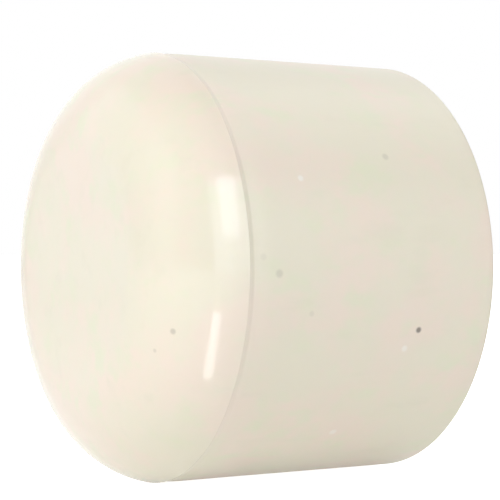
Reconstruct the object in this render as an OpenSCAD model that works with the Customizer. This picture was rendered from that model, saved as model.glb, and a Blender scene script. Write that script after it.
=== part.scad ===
// Slip cap for half-inch plastic pipe: a short socket with one closed, rounded end.
// The pipe slides into a slightly tapered socket and is held there by solvent cement.
// The axis is X. The mouth is the plane x = 0 and opens toward +X; the closed end is toward -X.

/* [Outside] */
// Outside diameter at the mouth
mouth_d = 20.8; // [20:0.1:24]
// Length of the body, from the mouth to the parting line
body_l = 13.5; // [13.2:0.1:16]
// Draft of the body, which widens toward the parting line, in degrees
body_draft = 0.35; // [0:0.05:1]
// Radius on the outer edge of the mouth
rim_r = 0.25; // [0.1:0.05:0.6]

/* [Closed end] */
// Radius of the rounded corner
corner_r = 4.7; // [3:0.1:5.5]
// Angle between the rounded corner and the axis where it meets the body, in degrees
corner_break = 12; // [0:1:20]
// Depth of the witness line that the mould's joint leaves beside the corner
witness_depth = 0.05; // [0.02:0.01:0.1]
// Width of the witness line
witness_w = 0.15; // [0.1:0.01:0.3]

/* [Socket] */
// Depth of the socket, from the mouth to the pipe stop
socket_depth = 12.7; // [11:0.1:13]
// Diameter of the socket at its mouth
socket_mouth_d = 16.03; // [15.95:0.01:16.15]
// Diameter of the socket at its bottom
socket_bottom_d = 15.75; // [15.65:0.01:15.9]
// Length of the parallel land at each end of the socket's taper
land_l = 1.5; // [1:0.1:3]
// Depth and width of the entry chamfer
entry_chamfer = 0.5; // [0.2:0.05:0.8]

/* [Recess] */
// Diameter of the recess past the pipe stop
recess_d = 12.4; // [8:0.1:13.5]
// Depth of the recess past the pipe stop
recess_depth = 1.2; // [0.5:0.1:1.8]
// Radius in the corner of the recess's floor
recess_r = 0.6; // [0.2:0.1:1]

/* [Hidden] */
$fn = 96;

// Radii of the body at the mouth and at the parting line
mouth_r = mouth_d / 2;
parting_r = mouth_r + body_l * tan(body_draft);

// The corner's arc starts at the parting line and runs tangent into the flat end face
corner_h = corner_r * (1 - sin(corner_break));
total_l = body_l + corner_h;
face_r = parting_r - corner_r * cos(corner_break);

// Radii of the socket and its entry, and the distance from the mouth to the recess's floor
socket_mouth_r = socket_mouth_d / 2;
socket_bottom_r = socket_bottom_d / 2;
entry_r = socket_mouth_r + entry_chamfer;
recess_end = socket_depth + recess_depth;

// How far a cutting shape runs past the face that it cuts
past = 1;

// The section modules draw half of the cap's section: radius along X, distance from the mouth along Y

// Solid body with its draft and its rounded outer rim
module body_section() {
    polygon([
        [0, rim_r],
        [mouth_r, rim_r],
        [parting_r, body_l],
        [0, body_l]
    ]);
    square([mouth_r - rim_r, body_l]);
    translate([mouth_r - rim_r, rim_r]) circle(rim_r);
}

// Closed end: a flat face inside the rounded corner
module end_section() {
    translate([0, body_l]) square([face_r, corner_h]);
    intersection() {
        translate([face_r, total_l - corner_r]) circle(corner_r);
        translate([0, body_l]) square([parting_r, corner_h]);
    }
}

// Shallow V groove in the body, against the parting line
module witness_section() {
    polygon([
        [parting_r - witness_depth, body_l - witness_w / 2],
        [parting_r + witness_depth, body_l - witness_w * 3 / 2],
        [parting_r + witness_depth, body_l + witness_w / 2]
    ]);
}

// Socket: entry chamfer, land, taper and land down to the pipe stop
module socket_section() {
    polygon([
        [0, -past],
        [entry_r + past, -past],
        [socket_mouth_r, entry_chamfer],
        [socket_mouth_r, entry_chamfer + land_l],
        [socket_bottom_r, socket_depth - land_l],
        [socket_bottom_r, socket_depth],
        [0, socket_depth]
    ]);
}

// Recess past the pipe stop, with a rounded corner at its floor
module recess_section() {
    square([recess_d / 2, recess_end - recess_r]);
    square([recess_d / 2 - recess_r, recess_end]);
    translate([recess_d / 2 - recess_r, recess_end - recess_r]) circle(recess_r);
}

module cap_body() {
    color([0.93, 0.90, 0.83])
    rotate([0, -90, 0])
    rotate_extrude()
    difference() {
        union() {
            body_section();
            end_section();
        }
        witness_section();
        socket_section();
        recess_section();
    }
}

cap_body();
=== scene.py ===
"""Half-inch slip cap for plastic pipe, lying on its side on a white table.

Units are metres. The axis is X and the mouth is at x = 0, open toward +X.
"""
import math

import bpy
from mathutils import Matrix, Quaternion, Vector, noise


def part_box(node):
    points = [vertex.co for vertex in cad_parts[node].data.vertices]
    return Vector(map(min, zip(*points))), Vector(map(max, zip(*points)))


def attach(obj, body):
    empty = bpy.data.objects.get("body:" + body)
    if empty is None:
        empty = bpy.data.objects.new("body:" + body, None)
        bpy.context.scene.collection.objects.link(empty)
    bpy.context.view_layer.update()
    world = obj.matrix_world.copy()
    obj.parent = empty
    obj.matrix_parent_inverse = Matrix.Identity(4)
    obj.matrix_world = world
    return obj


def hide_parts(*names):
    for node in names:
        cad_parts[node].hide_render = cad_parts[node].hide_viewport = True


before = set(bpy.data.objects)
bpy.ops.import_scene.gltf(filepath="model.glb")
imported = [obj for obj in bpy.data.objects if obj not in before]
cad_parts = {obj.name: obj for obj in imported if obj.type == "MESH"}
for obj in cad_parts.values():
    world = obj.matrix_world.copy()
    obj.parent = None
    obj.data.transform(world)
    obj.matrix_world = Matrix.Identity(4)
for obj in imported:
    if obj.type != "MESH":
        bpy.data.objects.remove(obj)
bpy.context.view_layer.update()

MM = 0.001

# ---- Sizes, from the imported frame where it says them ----
box_low, box_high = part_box("cap_body")
TOTAL_L = box_high.x - box_low.x
PARTING_R = (box_high.y - box_low.y) / 2
BODY_L = 13.5 * MM
BODY_DRAFT = math.radians(0.35)
MOUTH_R = PARTING_R - BODY_L * math.tan(BODY_DRAFT)
RIM_R = 0.25 * MM
CORNER_R = 4.7 * MM
CORNER_BREAK = math.radians(12)
FACE_R = PARTING_R - CORNER_R * math.cos(CORNER_BREAK)
WITNESS_DEPTH = 0.045 * MM
WITNESS_W = 0.24 * MM
WITNESS_RUN = 0.9 * MM
ENTRY_CHAMFER = 0.5 * MM
SOCKET_DEPTH = 12.7 * MM
SOCKET_MOUTH_R = 8.015 * MM
SOCKET_BOTTOM_R = 7.875 * MM
LAND_L = 1.5 * MM
RECESS_R = 6.2 * MM
RECESS_END = 13.9 * MM
RECESS_FILLET = 0.6 * MM

# ---- Small unevenness of a moulded part ----
FACE_SINK = 0.03 * MM
WAVE_DEPTH = 0.006 * MM
WAVE_L = 4.5 * MM
FLASH_H = 0.02 * MM
FLASH_L = 0.08 * MM
PIN_MARK_R = 0.9 * MM
PIN_MARK_DEPTH = 0.06 * MM
PIN_MARK_RING_R = 3.6 * MM
PIN_MARKS = 3
PIN_MARK_TURN = 0.4
PIN_MARK_SOFT = 0.1 * MM
GATE_ANGLE = math.radians(205)
GATE_W = 1.6 * MM
GATE_L = 0.9 * MM
GATE_H = 0.05 * MM
GATE_DEPTH = 0.95 * MM
GATE_SOFT = 0.15 * MM
GATE_REACH = 3 * MM

# ---- Mesh ----
TURN_STEPS = 320
LONGEST_STEP = 0.32 * MM
ARC_STEPS = 44
FILLET_STEPS = 4


def arc(centre, radius, start, end, steps):
    """Points (depth, radius) on an arc; 0 degrees points outward and 90 degrees away from the mouth."""
    angles = [start + (end - start) * i / steps for i in range(steps + 1)]
    return [(centre[0] + radius * math.sin(a), centre[1] + radius * math.cos(a)) for a in angles]


def plain(points):
    """The points as corners without a fillet."""
    return [(depth, r, 0) for depth, r in points]


def section():
    """Corners (depth from the mouth, radius, fillet), from the closed end's middle to the recess's."""
    quarter = math.pi / 2
    shares = (0, 0.25, 0.5, 0.75)
    face = [(TOTAL_L - FACE_SINK * (1 - share**2), FACE_R * share, 0) for share in shares]
    corner = arc((TOTAL_L - CORNER_R, FACE_R), CORNER_R, quarter, CORNER_BREAK, ARC_STEPS)
    parting = [
        (BODY_L, PARTING_R, 0.02 * MM),
        (BODY_L - WITNESS_W, PARTING_R - WITNESS_DEPTH, 0.05 * MM),
        (BODY_L - WITNESS_RUN, PARTING_R - WITNESS_RUN * math.tan(BODY_DRAFT), 0.3 * MM),
    ]
    rim = arc((RIM_R, MOUTH_R - RIM_R), RIM_R, 0, -quarter, 8)
    socket = [
        (0, SOCKET_MOUTH_R + ENTRY_CHAMFER, 0.06 * MM),
        (ENTRY_CHAMFER, SOCKET_MOUTH_R, 0.12 * MM),
        (ENTRY_CHAMFER + LAND_L, SOCKET_MOUTH_R, 0.4 * MM),
        (SOCKET_DEPTH - LAND_L, SOCKET_BOTTOM_R, 0.4 * MM),
        (SOCKET_DEPTH, SOCKET_BOTTOM_R, 0.12 * MM),
        (SOCKET_DEPTH, RECESS_R, 0.1 * MM),
    ]
    floor_centre = (RECESS_END - RECESS_FILLET, RECESS_R - RECESS_FILLET)
    floor_arc = arc(floor_centre, RECESS_FILLET, 0, quarter, 10)
    outside = [*face, *plain(corner[:-1]), *parting, *plain(rim)]
    inside = [*socket, *plain(floor_arc), (RECESS_END, 0, 0)]
    return outside + inside


def softened(corners):
    """The corners as points, with each fillet as a short curve."""
    points = []
    for i, (depth, r, fillet) in enumerate(corners):
        here = Vector((depth, r))
        if not fillet:
            points.append(here)
            continue
        before = Vector(corners[i - 1][:2]) - here
        after = Vector(corners[i + 1][:2]) - here
        reach_in = min(fillet, before.length * 0.45)
        reach_out = min(fillet, after.length * 0.45)
        start = here + before.normalized() * reach_in
        end = here + after.normalized() * reach_out
        for step in range(FILLET_STEPS + 1):
            t = step / FILLET_STEPS
            points.append(start * (1 - t) ** 2 + here * 2 * t * (1 - t) + end * t * t)
    return points


def divided(points):
    """The same outline with no step longer than LONGEST_STEP."""
    fine = [points[0]]
    for a, b in zip(points, points[1:]):
        steps = max(1, math.ceil((b - a).length / LONGEST_STEP))
        fine += [a.lerp(b, i / steps) for i in range(1, steps + 1)]
    return fine


def ramp(value, low, high):
    """0 up to low, 1 from high on, and smooth between."""
    t = min(1, max(0, (value - low) / (high - low)))
    return t * t * (3 - 2 * t)


def plateau(distance, half, soft):
    """1 inside half, falling to 0 over soft past it."""
    return 1 - ramp(abs(distance), half, half + soft)


def pin_marks(depth, r, angle):
    """Depth of the ejector pins' marks in the recess's floor."""
    if abs(depth - RECESS_END) > PIN_MARK_SOFT:
        return 0
    here = Vector((r * math.cos(angle), r * math.sin(angle)))
    total = 0
    for i in range(PIN_MARKS):
        a = math.tau * i / PIN_MARKS + PIN_MARK_TURN
        centre = Vector((PIN_MARK_RING_R * math.cos(a), PIN_MARK_RING_R * math.sin(a)))
        total += PIN_MARK_DEPTH * plateau((here - centre).length, PIN_MARK_R, PIN_MARK_SOFT)
    return total


def gate_scar(depth, r, angle):
    """Height of the trimmed gate's stub on the outside of the body, close to the rim."""
    if r < MOUTH_R - RIM_R or depth > GATE_REACH:
        return 0
    turn = (angle - GATE_ANGLE + math.pi) % math.tau - math.pi
    across = plateau(turn * r, GATE_W / 2, GATE_SOFT)
    along = plateau(depth - GATE_DEPTH, GATE_L / 2, GATE_SOFT)
    torn = 0.6 + 0.4 * noise.noise(Vector((turn * 60, depth / (0.2 * MM), 3)))
    return GATE_H * across * along * torn


def flash(depth, r, angle):
    """Height of the mould's flash along the parting line, which comes and goes round the part."""
    if r < MOUTH_R or not BODY_L - 0.02 * MM < depth < BODY_L + FLASH_L:
        return 0
    patchy = max(0, noise.noise(Vector((4 * math.cos(angle), 4 * math.sin(angle), 7))) + 0.25)
    return FLASH_H * patchy * plateau(depth - BODY_L, 0, FLASH_L)


def relief(point, depth, r, angle):
    """How far the real surface stands off the exact one, along its normal."""
    wave = WAVE_DEPTH * noise.noise(point / WAVE_L)
    return wave + flash(depth, r, angle) + gate_scar(depth, r, angle) - pin_marks(depth, r, angle)


def normals_of(points):
    """Outward normals of the section, as (along the depth, outward)."""
    last = len(points) - 1
    result = []
    for i in range(len(points)):
        run = points[min(i + 1, last)] - points[max(i - 1, 0)]
        result.append(Vector((run.y, -run.x)).normalized())
    return result


def turned(name, points):
    """A closed mesh: the section turned about X, with one vertex at each end on the axis."""
    normals = normals_of(points)
    normals[0] = Vector((1, 0))
    normals[-1] = Vector((-1, 0))
    verts = []
    rings = []
    for (depth, r), (along, out) in zip(points, normals):
        count = TURN_STEPS if r > 0 else 1
        rings.append((len(verts), count))
        for i in range(count):
            angle = math.tau * i / TURN_STEPS
            radial = Vector((0, math.cos(angle), math.sin(angle)))
            exact = Vector((-depth, 0, 0)) + radial * r
            normal = Vector((-along, 0, 0)) + radial * out
            verts.append(exact + normal * relief(exact, depth, r, angle))
    faces = []
    for (a, a_count), (b, b_count) in zip(rings, rings[1:]):
        for i in range(TURN_STEPS):
            j = (i + 1) % TURN_STEPS
            if a_count == 1:
                faces.append((a, b + i, b + j))
            elif b_count == 1:
                faces.append((a + i, b, a + j))
            else:
                faces.append((a + i, b + i, b + j, a + j))
    mesh = bpy.data.meshes.new(name)
    mesh.from_pydata(verts, [], faces)
    mesh.validate()
    mesh.shade_smooth()
    piece = bpy.data.objects.new(name, mesh)
    bpy.context.scene.collection.objects.link(piece)
    return piece


# ---- Cream plastic ----
CREAM = (0.765, 0.72, 0.58)
ROSE_CREAM = (0.805, 0.70, 0.59)
GREEN_CREAM = (0.74, 0.73, 0.56)
DULL_CREAM = (0.72, 0.68, 0.54)
SPECK_BROWN = (0.06, 0.045, 0.03)
CHALK = (0.88, 0.86, 0.80)
CLOSED_END_ROUGHNESS = 0.13
BODY_ROUGHNESS = 0.36
POLISH_BLEND = 0.2 * MM
NOISE_ROUGHNESS = 0.55
ROSY_L = 3.2 * MM
GREENISH_L = 1.7 * MM
FLOW_L = 1.2 * MM
FLOW_SHARE = 0.35
PATCH_L = 2.5 * MM
PATCH_ROUGHNESS = 0.06
SWELL_L = 1.1 * MM
SWELL_H = 0.004 * MM
GRAIN_L = 0.16 * MM
GRAIN_H = 0.0015 * MM
PLASTIC_IOR = 1.53
SCATTER_SHARE = 0.15
SCATTER_COLOUR = (1.0, 0.8, 0.5)
SCATTER_L = 0.5 * MM

# Specks of burnt resin: angle round the axis from +Y toward +Z in degrees, depth and size in mm,
# and strength.
SPECKS = [
    (196, 4.2, 0.20, 0.72),
    (181, 12.0, 0.26, 0.16),
    (177, 12.8, 0.22, 0.07),
    (198, 16.2, 0.19, 0.26),
    (150, 5.4, 0.24, 0.16),
    (206, 16.6, 0.13, 0.14),
    (191, 10.2, 0.18, 0.10),
    (62, 8.3, 0.20, 0.60),
    (305, 3.6, 0.18, 0.45),
    (20, 15.4, 0.16, 0.40),
]
# Small pale scuffs, in the same form.
SCUFFS = [
    (157, 10.4, 0.20, 0.6),
    (201, 4.8, 0.22, 0.5),
    (228, 7.0, 0.26, 0.5),
    (96, 3.1, 0.30, 0.5),
    (330, 9.0, 0.28, 0.5),
]


class Nodes:
    """Short calls for wiring one material's nodes; every value comes back as an output socket."""

    def __init__(self, material):
        material.use_nodes = True
        self.tree = material.node_tree
        self.shader = self.tree.nodes["Principled BSDF"]
        self.place = self.tree.nodes.new("ShaderNodeTexCoord").outputs["Object"]

    def put(self, value, socket):
        if isinstance(value, bpy.types.NodeSocket):
            self.tree.links.new(value, socket)
        else:
            socket.default_value = value

    def math(self, operation, a, b=0.0, c=0.0):
        node = self.tree.nodes.new("ShaderNodeMath")
        node.operation = operation
        for value, socket in zip((a, b, c), node.inputs):
            self.put(value, socket)
        return node.outputs[0]

    def remap(self, value, low, high, to_low=0.0, to_high=1.0):
        node = self.tree.nodes.new("ShaderNodeMapRange")
        node.interpolation_type = "SMOOTHSTEP"
        names = ("Value", "From Min", "From Max", "To Min", "To Max")
        for number, name in zip((value, low, high, to_low, to_high), names):
            self.put(number, node.inputs[name])
        return node.outputs[0]

    def noise(self, grain, detail=3.0, stretch=(1, 1, 1)):
        """Noise with features about grain metres across, drawn out by stretch."""
        scale = self.tree.nodes.new("ShaderNodeVectorMath")
        scale.operation = "DIVIDE"
        self.put(self.place, scale.inputs[0])
        scale.inputs[1].default_value = tuple(grain * k for k in stretch)
        node = self.tree.nodes.new("ShaderNodeTexNoise")
        self.put(scale.outputs[0], node.inputs["Vector"])
        node.inputs["Scale"].default_value = 1
        node.inputs["Detail"].default_value = detail
        node.inputs["Roughness"].default_value = NOISE_ROUGHNESS
        return node.outputs[0]

    def spot(self, centre, radius):
        """1 at centre, falling to 0 at radius."""
        node = self.tree.nodes.new("ShaderNodeVectorMath")
        node.operation = "DISTANCE"
        self.put(self.place, node.inputs[0])
        node.inputs[1].default_value = centre
        return self.remap(node.outputs["Value"], radius, radius * 0.35)

    def blend(self, share, a, b):
        node = self.tree.nodes.new("ShaderNodeMix")
        node.data_type = "RGBA"
        self.put(share, node.inputs["Factor"])
        for value, socket in ((a, node.inputs[6]), (b, node.inputs[7])):
            self.put(value if isinstance(value, bpy.types.NodeSocket) else (*value, 1), socket)
        return node.outputs[2]

    def bump(self, height, distance, under=None):
        node = self.tree.nodes.new("ShaderNodeBump")
        self.put(height, node.inputs["Height"])
        node.inputs["Distance"].default_value = distance
        node.inputs["Strength"].default_value = 1.0
        if under:
            self.put(under, node.inputs["Normal"])
        return node.outputs[0]


def outside_radius(depth):
    """The cap's outside radius at a depth from the mouth plane."""
    if depth < BODY_L:
        return MOUTH_R + depth * math.tan(BODY_DRAFT)
    return FACE_R + math.sqrt(CORNER_R**2 - (depth - TOTAL_L + CORNER_R) ** 2)


def marks(nodes, places):
    """One mask of spots on the outside of the cap."""
    total = 0.0
    for angle, depth, size, strength in places:
        r = outside_radius(depth * MM)
        turn = math.radians(angle)
        spot = nodes.spot((-depth * MM, r * math.cos(turn), r * math.sin(turn)), size * MM)
        total = nodes.math("MULTIPLY_ADD", spot, strength, total)
    return total


def cream_plastic():
    """Moulded cream CPVC: a polished closed end, a satin body, faint flow marks, specks and scuffs."""
    material = bpy.data.materials.new("cream_cpvc")
    n = Nodes(material)
    split = n.tree.nodes.new("ShaderNodeSeparateXYZ")
    n.put(n.place, split.inputs[0])
    along = split.outputs["X"]
    closed_end = n.remap(along, -BODY_L + POLISH_BLEND, -BODY_L - POLISH_BLEND)

    rosy = n.noise(ROSY_L, detail=4)
    greenish = n.noise(GREENISH_L, detail=3, stretch=(1.3, 1, 1))
    flow = n.noise(FLOW_L, detail=4, stretch=(3, 1, 1))
    colour = n.blend(n.remap(rosy, 0.4, 0.66), CREAM, ROSE_CREAM)
    colour = n.blend(n.remap(greenish, 0.5, 0.75), colour, GREEN_CREAM)
    colour = n.blend(n.remap(flow, 0.55, 0.75, 0, FLOW_SHARE), colour, DULL_CREAM)
    colour = n.blend(marks(n, SCUFFS), colour, CHALK)
    colour = n.blend(marks(n, SPECKS), colour, SPECK_BROWN)
    n.put(colour, n.shader.inputs["Base Color"])

    patch = n.noise(PATCH_L, detail=3)
    base_roughness = n.remap(closed_end, 0, 1, BODY_ROUGHNESS, CLOSED_END_ROUGHNESS)
    uneven = n.math("MULTIPLY_ADD", n.math("SUBTRACT", patch, 0.5), PATCH_ROUGHNESS, base_roughness)
    n.put(uneven, n.shader.inputs["Roughness"])

    swell = n.bump(n.noise(SWELL_L, detail=1), SWELL_H)
    grain = n.bump(n.noise(GRAIN_L, detail=3), GRAIN_H, under=swell)
    n.put(grain, n.shader.inputs["Normal"])

    n.shader.inputs["IOR"].default_value = PLASTIC_IOR
    n.shader.inputs["Subsurface Weight"].default_value = SCATTER_SHARE
    n.shader.inputs["Subsurface Radius"].default_value = SCATTER_COLOUR
    n.shader.inputs["Subsurface Scale"].default_value = SCATTER_L
    return material


cap = turned("cap_moulding", divided(softened(section())))
cap.data.materials.append(cream_plastic())
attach(cap, "root")
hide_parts("cap_body")

# ---- Camera: the photograph's viewing angle, level with the cap ----
AXIS_TO_SIGHT = math.radians(60.3)
DISTANCE = 8.25 * MOUTH_R
OFF_RIGHT = -0.0906 * MOUTH_R
OFF_DOWN = 0.0822 * MOUTH_R
LENS = 122.5

sight = Vector((math.cos(AXIS_TO_SIGHT), math.sin(AXIS_TO_SIGHT), 0))
right = Vector((math.sin(AXIS_TO_SIGHT), -math.cos(AXIS_TO_SIGHT), 0))
up = Vector((0, 0, 1))
middle = Vector((-TOTAL_L / 2, 0, 0))

camera = bpy.data.objects.new("camera", bpy.data.cameras.new("camera"))
bpy.context.scene.collection.objects.link(camera)
camera.data.lens = LENS
camera.data.clip_start = 5 * MM
camera.data.clip_end = 10
camera.location = middle - sight * DISTANCE - right * OFF_RIGHT + up * OFF_DOWN
camera.rotation_mode = "QUATERNION"
camera.rotation_quaternion = sight.to_track_quat("-Z", "Y")
bpy.context.scene.camera = camera

# ---- Studio ----


def toward(azimuth, elevation):
    """Unit vector; azimuth turns from the camera's direction toward its right, in degrees."""
    a, e = math.radians(azimuth), math.radians(elevation)
    return (-sight * math.cos(a) + right * math.sin(a)) * math.cos(e) + up * math.sin(e)


WHITE = (1, 1, 1)
COOL_WHITE = (0.93, 0.98, 1.1)
LAMP_DISTANCE = 0.4


def lamp_at(name, place, direction, width, height, radiance, colour=WHITE, turn=0.0):
    """A rectangular lamp at place, lit back along direction, that the camera doesn't see."""
    light = bpy.data.lights.new(name, "AREA")
    light.shape = "RECTANGLE"
    light.size = width
    light.size_y = height
    light.energy = radiance * math.pi * width * height
    light.color = colour
    lamp = bpy.data.objects.new(name, light)
    bpy.context.scene.collection.objects.link(lamp)
    lamp.location = place
    lamp.rotation_mode = "QUATERNION"
    lamp.rotation_quaternion = (-direction).to_track_quat("-Z", "Y") @ Quaternion((0, 0, 1), turn)
    lamp.visible_camera = False
    return lamp


def softbox(
    name, azimuth, elevation, width_deg, height_deg, radiance, colour=WHITE, distance=LAMP_DISTANCE
):
    """A soft light that the cap sees at those angles, with that brightness."""
    width = 2 * distance * math.tan(math.radians(width_deg / 2))
    height = 2 * distance * math.tan(math.radians(height_deg / 2))
    direction = toward(azimuth, elevation)
    return lamp_at(name, middle + direction * distance, direction, width, height, radiance, colour)


def shading_only(lamp):
    lamp.visible_glossy = False


def reflection_only(lamp):
    lamp.visible_diffuse = False


shading_only(softbox("key", -36, 30, 66, 45, 2.3))
shading_only(softbox("top", 10, 70, 60, 50, 0.75))
softbox("window", 15.5, 30, 19, 31, 2.6, COOL_WHITE)
reflection_only(softbox("front_reflector", 24, 10, 56, 70, 1.9, COOL_WHITE, distance=0.41))
reflection_only(softbox("left_reflector", -88, 8, 78, 84, 0.45, COOL_WHITE))
reflection_only(softbox("side_reflector", 75, 15, 40, 40, 0.6))
reflection_only(softbox("top_right", 120, 60, 44, 36, 1.0))

# A small lamp close to the cap, which only makes the long glint low on the rounded corner.
GLINT_SPOT = Vector((-14.8, -9.4, -3.3)) * MM
GLINT_LAMP_AWAY = 7 * MM
GLINT_LAMP_L = 7.3 * MM
GLINT_LAMP_W = 1.5 * MM
GLINT_LAMP_LEAN = math.radians(-8)
GLINT_RADIANCE = 4.2


def glint_lamp():
    way = toward(-2, -37)
    place = GLINT_SPOT + way * GLINT_LAMP_AWAY
    return lamp_at(
        "glint_lamp", place, way, GLINT_LAMP_W, GLINT_LAMP_L, GLINT_RADIANCE, turn=GLINT_LAMP_LEAN
    )


reflection_only(glint_lamp())

# The room is white to the camera; round the cap it is dim in front and bright behind, like a backdrop.
ROOM_GLOW = 0.19
BACKDROP_GLOW = 1.2


def white_room():
    world = bpy.data.worlds.new("white_room")
    world.use_nodes = True
    nodes = world.node_tree.nodes
    links = world.node_tree.links
    background = nodes["Background"]
    background.inputs["Color"].default_value = (1, 1, 1, 1)
    direction = nodes.new("ShaderNodeTexCoord")
    facing = nodes.new("ShaderNodeVectorMath")
    facing.operation = "DOT_PRODUCT"
    facing.inputs[1].default_value = sight
    links.new(direction.outputs["Generated"], facing.inputs[0])
    glow = nodes.new("ShaderNodeMapRange")
    glow.interpolation_type = "SMOOTHSTEP"
    glow.inputs["To Min"].default_value = ROOM_GLOW
    glow.inputs["To Max"].default_value = BACKDROP_GLOW
    links.new(facing.outputs["Value"], glow.inputs["Value"])
    path = nodes.new("ShaderNodeLightPath")
    strength = nodes.new("ShaderNodeMix")
    strength.inputs["B"].default_value = 1.0
    links.new(path.outputs["Is Camera Ray"], strength.inputs["Factor"])
    links.new(glow.outputs["Result"], strength.inputs["A"])
    links.new(strength.outputs["Result"], background.inputs["Strength"])
    return world


bpy.context.scene.world = white_room()

FLOOR_HALF = 3.0
FLOOR_Z = -PARTING_R
TABLE_COLOUR = (0.8, 0.8, 0.8, 1)
TABLE_ROUGHNESS = 0.6
TABLE_GLOW = 0.17
TABLE_SHEEN = 0.35
TABLE_WHITENING = 0.7


def white_table():
    """A pale matt material whose glow adds whitening for the camera and sheen for reflections."""
    material = bpy.data.materials.new("white_table")
    n = Nodes(material)
    n.shader.inputs["Base Color"].default_value = TABLE_COLOUR
    n.shader.inputs["Roughness"].default_value = TABLE_ROUGHNESS
    n.shader.inputs["Emission Color"].default_value = (1, 1, 1, 1)
    path = n.tree.nodes.new("ShaderNodeLightPath")
    seen = n.math("MULTIPLY_ADD", path.outputs["Is Camera Ray"], TABLE_WHITENING, TABLE_GLOW)
    glow = n.math("MULTIPLY_ADD", path.outputs["Is Glossy Ray"], TABLE_SHEEN, seen)
    n.put(glow, n.shader.inputs["Emission Strength"])
    return material


def table():
    mesh = bpy.data.meshes.new("floor")
    signs = ((-1, -1), (1, -1), (1, 1), (-1, 1))
    corners = [(x * FLOOR_HALF, y * FLOOR_HALF, FLOOR_Z) for x, y in signs]
    mesh.from_pydata(corners, [], [(0, 1, 2, 3)])
    mesh.materials.append(white_table())
    floor = bpy.data.objects.new("floor", mesh)
    bpy.context.scene.collection.objects.link(floor)
    return floor


table()

bpy.context.scene.view_settings.view_transform = "Standard"
